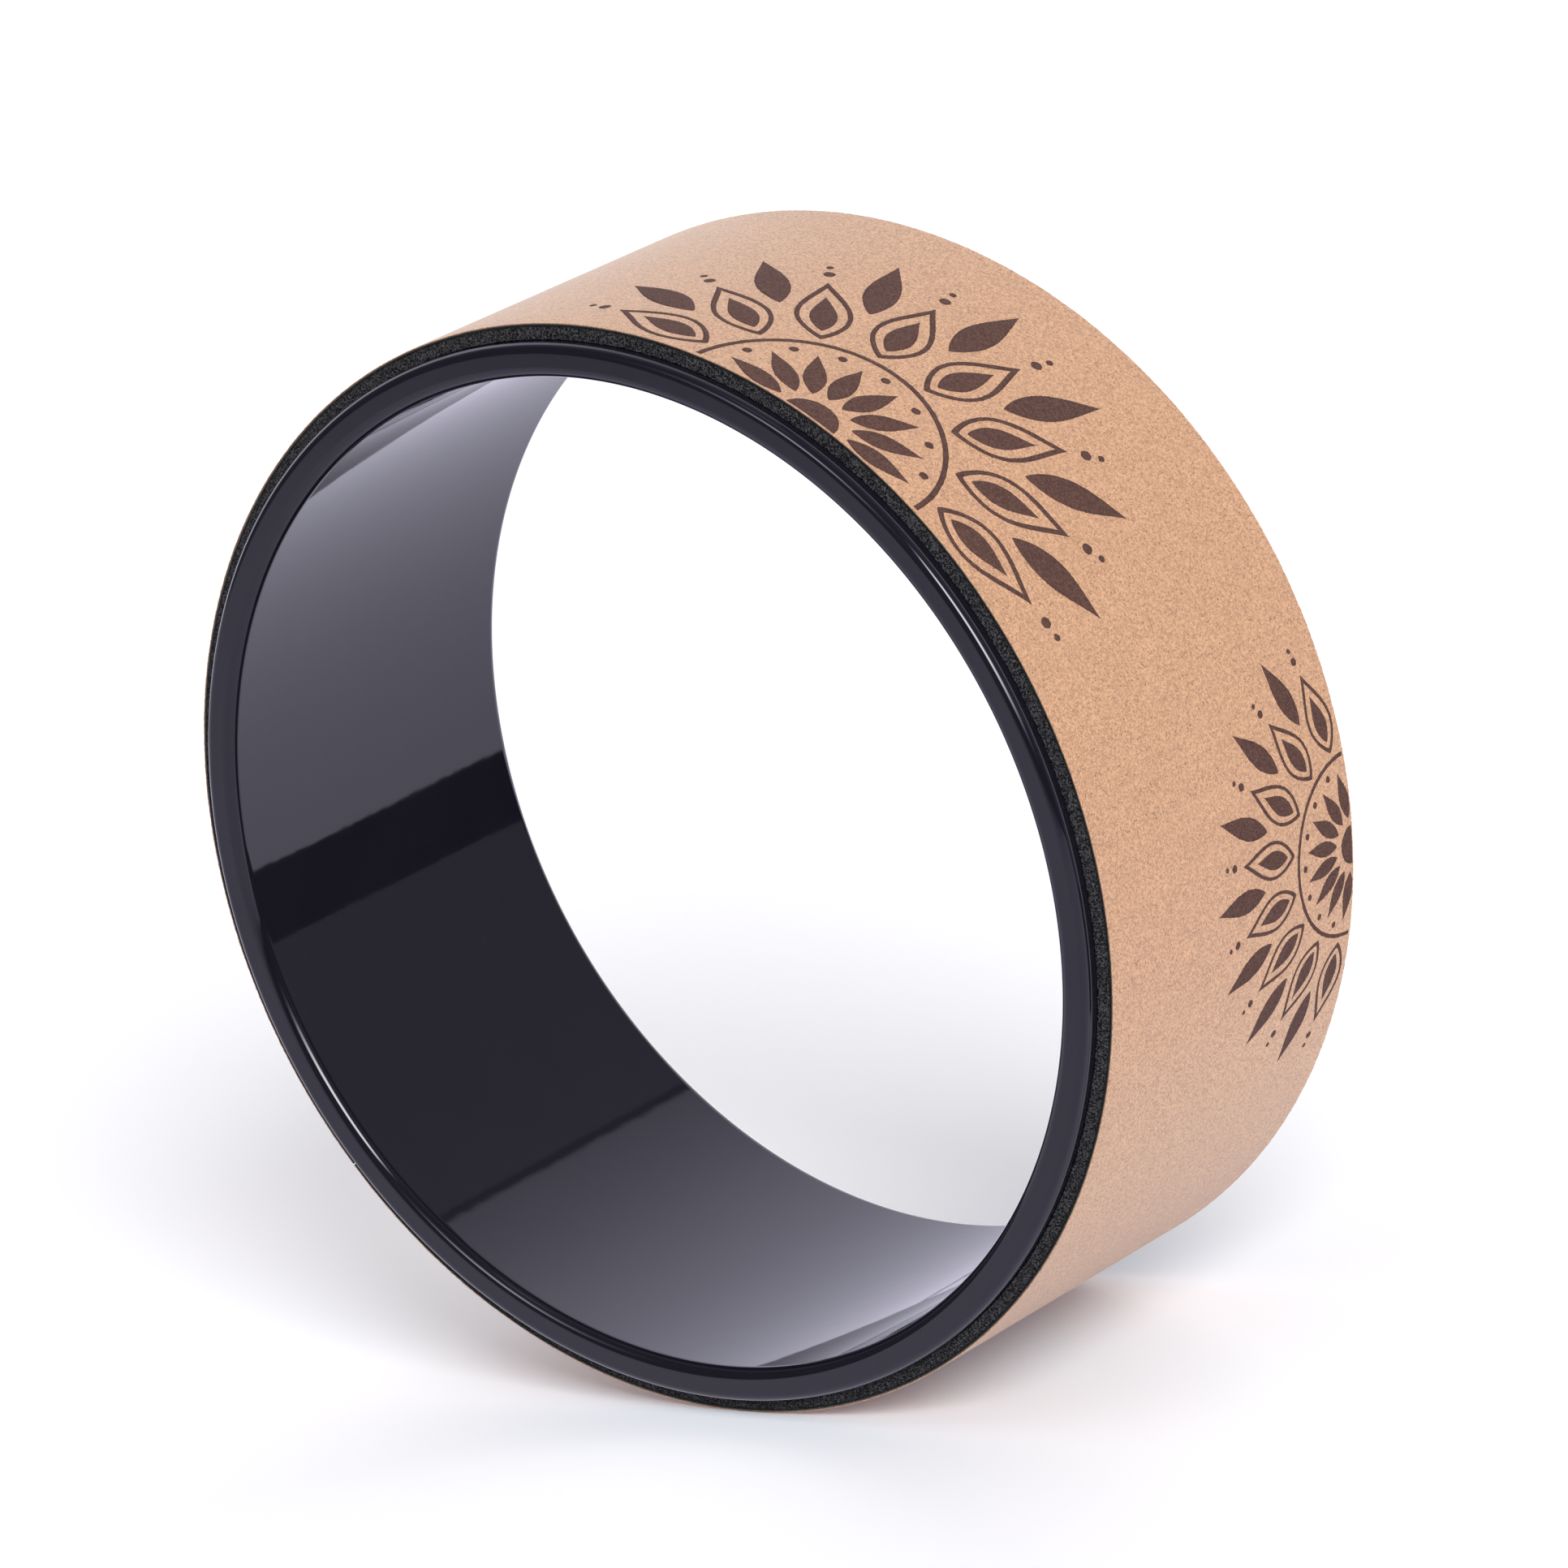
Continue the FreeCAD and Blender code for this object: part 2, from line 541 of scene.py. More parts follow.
def new_material(name, **values):
    """A material with one Principled shader and its constant values, as (material, tree, shader, place)."""
    material = bpy.data.materials.new(name)
    material.use_nodes = True
    tree = material.node_tree
    shader = tree.nodes["Principled BSDF"]
    for key, value in values.items():
        shader.inputs[key.replace("_", " ")].default_value = value
    place = add_node(tree, "ShaderNodeTexCoord").outputs["Object"]
    return material, tree, shader, place


def use_group(tree, group, place, size):
    """The outputs of a node group put in a material, with features of a size in metres."""
    made = add_node(tree, "ShaderNodeGroup", node_tree=group)
    made.inputs["Size"].default_value = size
    tree.links.new(place, made.inputs["Vector"])
    return made.outputs


def add_bump(tree, shader, height, strength, distance):
    """Gives a shader a bump from a height socket."""
    bump = add_node(tree, "ShaderNodeBump", {"Strength": strength, "Distance": distance})
    tree.links.new(height, bump.inputs["Height"])
    tree.links.new(bump.outputs[0], shader.inputs["Normal"])


def shade(color, *factors):
    """A colour made lighter or darker, by one factor or by one for each channel."""
    factors = factors if len(factors) == 3 else factors * 3
    return tuple(min(1.0, channel * factor) for channel, factor in zip(color, factors))


def plastic_material(settings):
    """Polished black plastic with faint clouds in its polish and a barely wavy skin."""
    cloud_size, speck_size, speck_share = 0.03, 0.0012, 0.35
    smoother, rougher, parting_rough = 0.85, 1.15, 0.4
    material, tree, shader, place = new_material(
        "Polished Black Plastic", IOR=1.5, Specular_Tint=(0.95, 0.94, 1.0, 1.0)
    )
    clouds = use_group(tree, mottling_group(), place, cloud_size)["Cloud"]
    specks = use_group(tree, mottling_group(), place, speck_size)["Cloud"]
    base = settings.plastic_color
    color = add_mix(tree, clouds, shade(base, 0.94), shade(base, 1.06))
    # The parting line is mixed to a light grey: partly its dull finish, partly a painted highlight along the
    # line.
    parting = add_attribute(tree, "parting")
    tree.links.new(add_mix(tree, parting, color, settings.parting_highlight_color), shader.inputs["Base Color"])
    blend = add_math(tree, "MULTIPLY_ADD", specks, speck_share, clouds)
    mean = settings.roughness
    rough = add_range(tree, blend, 0.0, 1 + speck_share, mean * smoother, mean * rougher)
    rough = add_math(tree, "MULTIPLY_ADD", parting, parting_rough, rough)
    tree.links.new(rough, shader.inputs["Roughness"])
    add_bump(tree, shader, clouds, strength=0.03, distance=0.0006)
    return material


def foam_material(settings):
    """Matt charcoal foam with painted shade in its pores, darker towards the film under the cork."""
    cloud_size, pore_shade_from, pore_shade_to, film_dark_share = 0.0006, 0.1, 0.5, 0.85
    material, tree, shader, place = new_material("Open Pored Foam", Roughness=0.92, Specular_IOR_Level=0.2)
    clouds = use_group(tree, mottling_group(), place, cloud_size)["Cloud"]
    base = settings.foam_color
    skin = add_mix(tree, clouds, shade(base, 0.6), shade(base, 1.6))
    # Painted shade: the pores go near black by their depth, in place of the shade inside them.
    pore = add_range(tree, add_attribute(tree, "pore"), pore_shade_from, pore_shade_to)
    color = add_mix(tree, pore, skin, shade(base, 0.08))
    # Darker over the outer fifth of each cut edge, next to the film under the cork, mixed towards the
    # adhesive's colour.
    stain = add_range(tree, add_attribute(tree, "stain"), 0.0, 1.0, 0.0, film_dark_share)
    film_darkened = add_mix(tree, stain, color, shade(settings.adhesive_color, 0.25))
    tree.links.new(film_darkened, shader.inputs["Base Color"])
    add_bump(tree, shader, clouds, strength=0.5, distance=0.0002)
    return material


def cork_material(settings):
    """Fine pressed cork: granules of near tones, thin joints, sparse darker flecks, cut edges darker towards
    the film.
    """
    broad_size, broad_share, joint_share, fleck_share = 0.012, 0.18, 0.14, 0.85
    darkest, lightest, film_dark_from, film_dark_to = 0.1, 0.85, 0.3, 0.6
    material, tree, shader, place = new_material(
        "Pressed Cork", Roughness=0.8, Specular_IOR_Level=0.4, Sheen_Weight=0.42, Sheen_Roughness=0.5
    )
    grain = use_group(tree, granule_group(), place, settings.granule)
    broad = use_group(tree, mottling_group(), place, broad_size)["Cloud"]
    base = settings.cork_color
    tone = add_range(tree, grain["Tone"], darkest, lightest)
    color = add_mix(tree, tone, shade(base, 0.68, 0.63, 0.59), shade(base, 1.27, 1.32, 1.36))
    color = add_mix(tree, broad, color, shade(base, 0.86), broad_share)
    color = add_mix(tree, grain["Joint"], color, shade(base, 0.6), joint_share)
    color = add_mix(tree, grain["Fleck"], color, shade(base, 0.4, 0.33, 0.28), fleck_share)
    # The cut edges go darker towards the film, mixed towards the adhesive's colour.
    stain = add_range(tree, add_attribute(tree, "stain"), film_dark_from, film_dark_to)
    color = add_mix(tree, stain, color, settings.adhesive_color)
    tree.links.new(color, shader.inputs["Base Color"])
    add_bump(tree, shader, grain["Height"], strength=0.4, distance=0.0001)
    return material


def ink_material(settings, granule):
    """Brown ink soaked into cork, so that the granules show through it as lighter and darker points."""
    darkest, lightest, fleck_share, joint_share = 0.2, 0.8, 0.45, 0.3
    material, tree, shader, place = new_material("Brown Ink", Roughness=0.8, Specular_IOR_Level=0.25)
    grain = use_group(tree, granule_group(), place, granule)
    base = settings.ink_color
    tone = add_range(tree, grain["Tone"], darkest, lightest)
    color = add_mix(tree, tone, shade(base, 0.72), shade(base, 1.3, 1.36, 1.4))
    color = add_mix(tree, grain["Fleck"], color, shade(base, 2.3, 2.5, 2.5), fleck_share)
    color = add_mix(tree, grain["Joint"], color, shade(base, 0.55), joint_share)
    tree.links.new(color, shader.inputs["Base Color"])
    add_bump(tree, shader, grain["Height"], strength=0.4, distance=0.0001)
    return material


def adhesive_material(settings):
    """Dark adhesive, a little streaky."""
    cloud_size, smoothest, roughest = 0.002, 0.5, 0.7
    material, tree, shader, place = new_material("Dark Adhesive", Specular_IOR_Level=0.3)
    clouds = use_group(tree, mottling_group(), place, cloud_size)["Cloud"]
    base = settings.adhesive_color
    color = add_mix(tree, clouds, shade(base, 0.7), shade(base, 1.3))
    tree.links.new(color, shader.inputs["Base Color"])
    tree.links.new(add_range(tree, clouds, 0.0, 1.0, smoothest, roughest), shader.inputs["Roughness"])
    return material


class YOGA_WHEEL_OT_mould_hoop(bpy.types.Operator):
    """Turns the hoop's rounded section about the axle"""

    bl_idname = "yoga_wheel.mould_hoop"
    bl_label = "Mould Hoop"

    def execute(self, context):
        """Four quarter circles joined by straight runs form the section, with a fine ridge on the outer two,
        and the section is turned through a full circle."""
        settings = context.scene.yoga_wheel.hoop
        bore, seat, _, half = node_reach("hoop")
        edge = edge_rounding()
        ease = edge + settings.inner_ease
        bend = np.linspace(0, QUARTER_TURN, settings.edge_steps)
        outer, inner = (seat - edge, half - edge), (bore + ease, half - ease)
        corners = (outer, inner, (bore + ease, ease - half), (seat - edge, edge - half))
        line = np.exp(-(((bend - settings.parting_angle) / PARTING_SPREAD) ** 2))
        ridge = edge + settings.parting_height * line
        plain = np.full_like(bend, ease)
        radius, across = [], []
        for turn, ((r, y), reach) in enumerate(zip(corners, (ridge[::-1], plain, plain, ridge))):
            radius.append(r + reach * np.cos(bend + turn * QUARTER_TURN))
            across.append(y + reach * np.sin(bend + turn * QUARTER_TURN))
        radius, across = np.concatenate(radius), np.concatenate(across)
        angle = np.linspace(0, FULL_TURN, settings.round_steps, endpoint=False)
        points = around(radius, across, angle[:, None])
        faces = grid_faces(angle.size, radius.size, True, True).tolist()
        hoop = make_object("moulded_hoop", points, faces, plastic_material(settings))
        # Mark of the parting line along the section, for its painted highlight colour and its roughness.
        mark = np.concatenate([line[::-1], 0 * line, 0 * line, line])
        put_attribute(hoop, "parting", np.tile(mark, angle.size))
        hoop.modifiers.new("Weighted Normal", "WEIGHTED_NORMAL").keep_sharp = True
        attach(hoop, "root")
        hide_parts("hoop")
        return {"FINISHED"}


class YOGA_WHEEL_OT_cut_foam(bpy.types.Operator):
    """Wraps the foam strip round the hoop, with open pores on its cut edges"""

    bl_idname = "yoga_wheel.cut_foam"
    bl_label = "Cut Foam"

    def pores(self, along, up, pitch, seed):
        """Depth from 0 to 1 of rounded pits: each cell of a jittered grid holds one pit of its own size and
        place."""
        least, more, growth, closed_share, shallow = 0.2, 0.42, 1.4, 0.06, 0.35
        source = np.random.default_rng(seed)
        shape = (int(along.max() / pitch) + 3, int(up.max() / pitch) + 4)
        offset_a, offset_u, size, keep = source.random((4, *shape))
        cell_a, cell_u = np.floor(along / pitch).astype(int) + 1, np.floor(up / pitch).astype(int) + 1
        reach = (least + more * size**growth) * pitch
        depth = np.zeros(np.broadcast(along, up).shape)
        for step_a in (-1, 0, 1):
            for step_u in (-1, 0, 1):
                i, j = np.broadcast_arrays((cell_a + step_a) % shape[0], (cell_u + step_u) % shape[1])
                gap_a = along - (cell_a + step_a - 1 + offset_a[i, j]) * pitch
                gap_u = up - (cell_u + step_u - 1 + offset_u[i, j]) * pitch
                fall = 1 - (gap_a**2 + gap_u**2) / reach[i, j] ** 2
                strength = np.where(keep[i, j] > closed_share, shallow + (1 - shallow) * size[i, j], 0.0)
                depth = np.maximum(depth, np.sqrt(np.clip(fall, 0, 1)) * strength)
        return depth

    def cut_edge(self, along, up, pitch, seeds):
        """Depth of the pores on one cut edge: coarse ones and, between them, finer and shallower ones."""
        fine_pitch, fine_depth = 0.55, 0.8
        coarse = self.pores(along, up, pitch, seeds[0])
        return np.maximum(coarse, fine_depth * self.pores(along, up, pitch * fine_pitch, seeds[1]))

    def execute(self, context):
        """A rectangle is carried round from seam to seam; its two sides lean out towards the hoop and are
        pushed in by the pores."""
        face_rows, grit_depth, film_dark_slope, film_dark_start = 2, 0.1, 6, 4.8
        settings = context.scene.yoga_wheel.tread
        inner, outer, low, high = node_reach("foam_strip")
        angle = strip_angles(settings.foam_step, outer)
        rows = settings.foam_rows
        radius, across = square_section(inner, outer, low, high, rows, face_rows)
        pitted = np.zeros((angle.size, radius.size))
        along = ((angle - angle[0]) * outer)[:, None]
        up = np.linspace(0, outer - inner, rows)[None, :]
        front, back = slice(0, rows), slice(rows + face_rows, 2 * rows + face_rows)
        pitted[:, front] = self.cut_edge(along, up, settings.pore_pitch, FRONT_PORE_SEEDS)
        pitted[:, back] = self.cut_edge(along, up, settings.pore_pitch, BACK_PORE_SEEDS)
        grit = np.random.default_rng(GRIT_SEED).random(pitted.shape) * (pitted > 0) * grit_depth
        pushed = (pitted + grit) * settings.pore_depth
        across = across[None, :] * np.ones((angle.size, 1))
        lean = 1 - up / up.max()
        across[:, front] += pushed[:, front] - settings.front_slant * lean
        across[:, back] -= pushed[:, back] - settings.back_slant * lean[:, ::-1]
        foam = make_strip("pored_foam", radius, across, angle, foam_material(settings), LAYER_CREASE)
        # The pores' depth, which the foam's material turns into painted shade.
        put_attribute(foam, "pore", pitted)
        # Share of darkening on each row: none over most of the cut edge, rising over the fifth next to the
        # cork.
        stain = np.zeros(radius.size)
        stain[front] = np.clip(up[0] / up.max() * film_dark_slope - film_dark_start, 0, 1)
        stain[back] = stain[front][::-1]
        put_attribute(foam, "stain", np.tile(stain, angle.size))
        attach(foam, "root")
        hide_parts("foam_strip")
        return {"FINISHED"}


class YOGA_WHEEL_OT_spread_adhesives(bpy.types.Operator):
    """Lays the tape under the foam and the film under the cork"""

    bl_idname = "yoga_wheel.spread_adhesives"
    bl_label = "Spread Adhesives"

    def execute(self, context):
        """Two thin rectangles are carried round from seam to seam, a little narrower than the tread."""
        side_rows, face_rows, coarser = 2, 4, 2
        settings = context.scene.yoga_wheel.tread
        material = adhesive_material(settings)
        for name, node in (("tape_layer", "mounting_tape"), ("film_layer", "laminating_film")):
            inner, outer, low, high = node_reach(node)
            angle = strip_angles(settings.cork_step * coarser, outer)
            short = settings.adhesive_setback
            radius, across = square_section(inner, outer, low + short, high - short, side_rows, face_rows)
            layer = make_strip(name, radius, across, angle, material, LAYER_CREASE)
            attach(layer, "root")
            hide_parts(node)
        return {"FINISHED"}


class YOGA_WHEEL_OT_lay_cork(bpy.types.Operator):
    """Lays the cork sheet over the foam, with its edges broken along the granules"""

    bl_idname = "yoga_wheel.lay_cork"
    bl_label = "Lay Cork"

    def execute(self, context):
        """A rectangle is carried round from seam to seam; its sides and outer corners are set back by a part
        of a granule, at random from point to point."""
        side, face, corner_share = 4, 24, 0.6
        settings = context.scene.yoga_wheel.tread
        inner, outer, low, high = node_reach("cork_sheet")
        angle = strip_angles(settings.cork_step, outer)
        radius, across = square_section(inner, outer, low, high, side, face)
        stray = np.random.default_rng(CORK_SEED).random((angle.size, radius.size)) * settings.cork_ragged
        across = across[None, :] * np.ones((angle.size, 1))
        radius = radius[None, :] * np.ones((angle.size, 1))
        front, back = slice(0, side), slice(side + face, 2 * side + face)
        across[:, front] += stray[:, front]
        across[:, back] -= stray[:, back]
        for corner in (side - 1, side + face):
            radius[:, corner] -= stray[:, corner] * corner_share
        cork = make_strip("cork_cover", radius, across, angle, cork_material(settings), CORK_CREASE)
        # The cut edges go from dark at the film to plain cork at the outside.
        stain = np.zeros(radius.shape)
        stain[:, front] = np.linspace(1, 0, side)
        stain[:, back] = np.linspace(0, 1, side)
        put_attribute(cork, "stain", stain)
        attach(cork, "root")
        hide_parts("cork_sheet")
        return {"FINISHED"}


class YOGA_WHEEL_OT_print_cork(bpy.types.Operator):
    """Prints two half rosettes on the cork, one from each edge"""

    bl_idname = "yoga_wheel.print_cork"
    bl_label = "Print Cork"

    def swell(self, length):
        """Share of a petal's half width along its length: a sine of a power, slimmer towards the tip."""
        foot_power, slimming = 0.82, 0.3
        return np.sin(math.pi * length**foot_power) * (1 - slimming * length**3)

    def petal(self, start, end, half_width, turn):
        """A pointed petal on a grid: its half width swells and closes along its length."""
        columns, rows = 72, 9
        length = np.linspace(0, 1, columns)[:, None]
        width = np.linspace(-1, 1, rows)[None, :]
        swell = self.swell(length) + self.stray(length.shape) * np.sin(math.pi * length) / half_width
        out, side = start + (end - start) * length, half_width * swell * width
        return self.turned(out + 0 * side, side, turn), False

    def outline(self, start, end, half_width, line, turn):
        """The edge of such a petal as a band: an outer and an inner outline joined row by row."""
        columns, rows, foot_inset, tip_inset = 180, 3, 1.6, 2.6
        lap = np.linspace(0, 2, columns, endpoint=False)[:, None]
        length = np.where(lap <= 1, lap, 2 - lap)
        hand = np.where(lap <= 1, -1.0, 1.0)
        inset = np.linspace(0, 1, rows)[None, :] * line
        begin, finish = start + inset * foot_inset, end - inset * tip_inset
        out = begin + (finish - begin) * length
        side = hand * np.maximum(half_width - inset, 0) * self.swell(length)
        return self.turned(out, side + self.stray(out.shape) * np.sin(math.pi * length), turn), True

    def ring(self, inner, outer, start, end, turn=0.0, out=0.0, closed=False):
        """Part of a flat ring or disc, round a centre at a distance out along the direction turn."""
        row_width, column_length, least_columns = 0.0015, 0.0009, 24
        reach = np.linspace(outer, inner, max(2, int((outer - inner) / row_width) + 2))[None, :]
        columns = max(least_columns, int(outer * (end - start) / column_length))
        angle = np.linspace(start, end, columns, endpoint=not closed)[:, None]
        edge = reach + self.stray(angle.shape) * (reach > inner)
        return self.turned(out + edge * np.cos(angle), edge * np.sin(angle), turn), closed

    def stray(self, shape):
        """Small random steps of an outline, from the print's own source of chance."""
        return (self.chance.random(shape) - 0.5) * self.ragged

    def turned(self, out, side, turn):
        """Points of a motif laid in the direction turn, as (along the edge, into the tread)."""
        along = out * math.cos(turn) - side * math.sin(turn)
        return np.stack([along, out * math.sin(turn) + side * math.cos(turn)], axis=-1)

    def half_rosette(self, reach):
        """All motifs of a half rosette of a given reach, tier by tier from its centre on the tread's edge.
        The sizes of a tier are shares of the reach."""
        count = 8
        heart, heart_gap, circle, circle_gap = 0.085, 0.06, (0.385, 0.402), 0.03
        bud, leaf = (0.12, 0.33, 0.034), (0.635, 0.965, 0.05)
        framed, filling = (0.425, 0.79, 0.083, 0.0145), (0.475, 0.69, 0.04)
        inner_dot, outer_dots = (0.014, 0.345), ((0.017, 0.85), (0.011, 0.9))
        wide = (np.arange(count) + 0.5) * math.pi / count
        between = np.arange(1, count) * math.pi / count

        def petals(shares, turns, draw=self.petal):
            """One petal for each turn, with its sizes as shares of the reach."""
            return [draw(*(share * reach for share in shares), turn) for turn in turns]

        def dots(size, out, turns):
            """One dot for each turn, with its radius and its distance as shares of the reach."""
            return [self.ring(0.0, size * reach, 0, FULL_TURN, turn, out * reach, True) for turn in turns]

        motifs = [self.ring(0.0, heart * reach, heart_gap, math.pi - heart_gap)]
        motifs += petals(bud, wide)
        motifs += dots(*inner_dot, between)
        motifs.append(self.ring(circle[0] * reach, circle[1] * reach, circle_gap, math.pi - circle_gap))
        motifs += petals(framed, wide, self.outline)
        motifs += petals(filling, wide)
        motifs += petals(leaf, between)
        for dot in outer_dots:
            motifs += dots(*dot, wide)
        return motifs

    def execute(self, context):
        """Every motif's grid is bent round the tread, a hair above the cork, and thickened into it."""
        edge_gap, weld = 0.0006, 2e-6
        wheel = context.scene.yoga_wheel
        settings = wheel.ink
        _, outer, low, high = node_reach("cork_sheet")
        self.chance = np.random.default_rng(PRINT_SEED)
        self.ragged = settings.ink_ragged * 2
        material = ink_material(settings, wheel.tread.granule)
        front = ("front_print", settings.front_radius, settings.front_angle, 1)
        back = ("back_print", settings.back_radius, settings.back_angle, -1)
        for name, reach, angle, inward in (front, back):
            points, faces, count = [], [], 0
            for motif, closed in self.half_rosette(reach):
                along, into = motif[..., 0], np.maximum(motif[..., 1], edge_gap)
                across = low + into if inward > 0 else high - into
                laid = around(outer + settings.ink_height, across, angle + along / outer)
                part = grid_faces(motif.shape[0], motif.shape[1], close_columns=closed)
                points.append(laid.reshape(-1, 3))
                faces.append((part if inward > 0 else part[:, ::-1]) + count)
                count += laid.shape[0] * laid.shape[1]
            ink = make_object(name, np.concatenate(points), np.concatenate(faces).tolist(), material)
            joined = bmesh.new()
            joined.from_mesh(ink.data)
            bmesh.ops.remove_doubles(joined, verts=joined.verts, dist=weld)
            joined.to_mesh(ink.data)
            joined.free()
            solid = ink.modifiers.new("Thickness", "SOLIDIFY")
            solid.thickness, solid.offset = settings.ink_depth, -1.0
            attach(ink, "root")
        return {"FINISHED"}


class YOGA_WHEEL_OT_set_stage(bpy.types.Operator):
    """Lays the floor and sets the light, the reflected studio and the camera"""

    bl_idname = "yoga_wheel.set_stage"
    bl_label = "Set Stage"

    def lay_floor(self, settings, level):
        """A flat square grid under the wheel, with a cool tint painted under the tread to cancel the warm
        light that the cork throws there: the tint fades as a bell curve along X and Y."""
        lines, cloud_size = 9, 0.4
        line = np.linspace(-settings.floor_size / 2, settings.floor_size / 2, lines)
        x, y = np.meshgrid(line, line, indexing="ij")
        points = np.stack([x, y, np.full_like(x, level)], axis=-1)
        glow = {"Emission_Color": (*settings.glow_color, 1.0), "Emission_Strength": settings.floor_glow}
        matt = {"Specular_IOR_Level": 0.0, "Roughness": 1.0}
        material, tree, shader, place = new_material("Pale Floor", **matt, **glow)
        clouds = use_group(tree, mottling_group(), place, cloud_size)["Cloud"]
        base = settings.floor_color
        color = add_mix(tree, clouds, shade(base, 0.995), shade(base, 1.005))
        parts = add_node(tree, "ShaderNodeSeparateXYZ")
        tree.links.new(place, parts.inputs[0])
        squares = []
        for axis, reach in (("X", settings.bounce_cancel_length), ("Y", settings.bounce_cancel_width)):
            squares.append(add_math(tree, "POWER", add_math(tree, "DIVIDE", parts.outputs[axis], reach), 2.0))
        away = add_math(tree, "ADD", *squares)
        bounce_cancel_mask = add_math(tree, "EXPONENT", add_math(tree, "MULTIPLY", away, -1.0))
        # Painted light: the floor turns to the cool tint beneath the tread, cancelling the cork's warm
        # bounce.
        tree.links.new(add_mix(tree, bounce_cancel_mask, color, settings.bounce_cancel_color), shader.inputs["Base Color"])
        return make_object("studio_floor", points, grid_faces(lines, lines)[:, ::-1].tolist(), material)

    def room_section(self, level):
        """X and Z of the room's outline: up the right wall, along the roof, down the left wall and back along
        the floor, with rounded upper corners."""
        bend = np.linspace(0, QUARTER_TURN, CORNER_ROWS)
        side, rise = ROOM_CORNER * np.cos(bend), ROOM_CORNER * np.sin(bend)
        near, far, shoulder = ROOM_RIGHT - ROOM_CORNER, ROOM_LEFT + ROOM_CORNER, ROOM_TOP - ROOM_CORNER
        ground = np.linspace(ROOM_LEFT, ROOM_RIGHT, GROUND_ROWS + 1)[1:]
        x = [np.full(WALL_ROWS, ROOM_RIGHT), near + side, np.linspace(near, far, ROOF_ROWS)]
        x += [far - rise, np.full(LEFT_ROWS, ROOM_LEFT), ground]
        z = [np.linspace(level, shoulder, WALL_ROWS), shoulder + rise, np.full(ROOF_ROWS, ROOM_TOP)]
        z += [shoulder + side, np.linspace(shoulder, level, LEFT_ROWS), np.full(GROUND_ROWS, level)]
        return np.concatenate(x)[None, :], np.concatenate(z)[None, :]

    def room_depth(self):
        """Y of the room's rows from behind to the front, and the size of the section at each row. In front
        the room is wider, so that its lights are far off, and its end shrinks to a point."""
        first_wide = -0.085
        place = np.concatenate([np.linspace(*run, endpoint=False) for run in ROOM_RUNS])
        narrow = place > ROOM_NARROW_END
        depth = np.where(narrow, place, np.minimum(place * ROOM_WIDENING, first_wide))
        depth = np.concatenate([depth, np.full(ROOM_END_ROWS, ROOM_FRONT * ROOM_WIDENING)])
        size = np.where(narrow, 1.0, ROOM_WIDENING)
        size = np.concatenate([size, np.linspace(ROOM_WIDENING, 0, ROOM_END_ROWS)])
        return depth[:, None], size[:, None]

    def room_glow(self, section_x, section_z, depth, size, level):
        """Light of the room's points: dim walls with a dark base on the right and a dark band in the roof, a
        bright screen over the left half, a slanting light on the right wall, spots overhead, a pale floor."""
        wall_from, base_top, roof_from, spots_from, band_end = 0.25, -0.042, 0.5, 0.55, 0.17
        fade_from, fade_to, least_fade = -0.45, -0.05, 0.3
        screen_blur, screen_from, screen_to = 0.004, -0.02, 0.04
        slant_ahead, slant_lean, slant_length, slant_middle, slant_height = -0.39, -0.5, 0.15, 0.135, 0.155
        near_end, near_from, near_to, bright_from, bright_to = -0.05, -0.45, -0.3, 0.08, 0.28
        ahead = depth / np.maximum(size, 1.0)
        right = section_x > wall_from
        glow = np.where(right & (section_z < base_top), DARK_GLOW, DIM_GLOW) + 0 * depth
        band = (section_z > roof_from) & (section_x > SCREEN_EDGE) & (section_x < band_end)
        glow = np.where(band, BAND_GLOW, glow) * np.maximum(ramp(ahead, fade_from, fade_to), least_fade)
        screen = ramp(section_x, SCREEN_EDGE, SCREEN_EDGE - screen_blur) * ramp(depth, screen_from, screen_to)
        rise = np.interp(-section_x, SCREEN_PLACES, SCREEN_GLOWS)
        glow = glow + (rise - glow) * screen * (section_z > level)
        along = (ahead - slant_ahead - slant_lean * section_z) / slant_length
        upward = (section_z - slant_middle) / slant_height
        glow = glow + SLANT_GLOW * np.exp(-(along**4) - upward**4) * right
        for across, forward, width, length, strength in SPOTS:
            spot = np.exp(-(((section_x - across) / width) ** 2) - ((ahead - forward) / length) ** 2)
            glow = glow + strength * spot * (section_z > spots_from)
        pale = np.interp(depth, GROUND_DEPTHS, GROUND_GLOWS)
        near = (depth < near_end) * ramp(depth, near_from, near_to)
        pale = pale + NEAR_GLOW * ramp(section_x * size, bright_from, bright_to) * near
        glow[:, -GROUND_ROWS:] = pale[:, -GROUND_ROWS:]
        glow[:, -1] = DARK_GLOW
        return ROOM_GAIN * glow

    def room_material(self):
        """Light by the room's attribute, faintly violet where it is weak and white where it is strong."""
        weak_to, strong_from = 1.6, 6.0
        weak_color, strong_color = (0.845, 0.827, 1.0), (1.0, 0.98, 0.96)
        material = bpy.data.materials.new("Studio Surround")
        material.use_nodes = True
        tree = material.node_tree
        tree.nodes.remove(tree.nodes["Principled BSDF"])
        light = add_node(tree, "ShaderNodeEmission")
        strength = add_attribute(tree, "glow")
        tint = add_mix(tree, add_range(tree, strength, weak_to, strong_from), weak_color, strong_color)
        tree.links.new(tint, light.inputs["Color"])
        tree.links.new(strength, light.inputs["Strength"])
        tree.links.new(light.outputs[0], tree.nodes["Material Output"].inputs["Surface"])
        return material

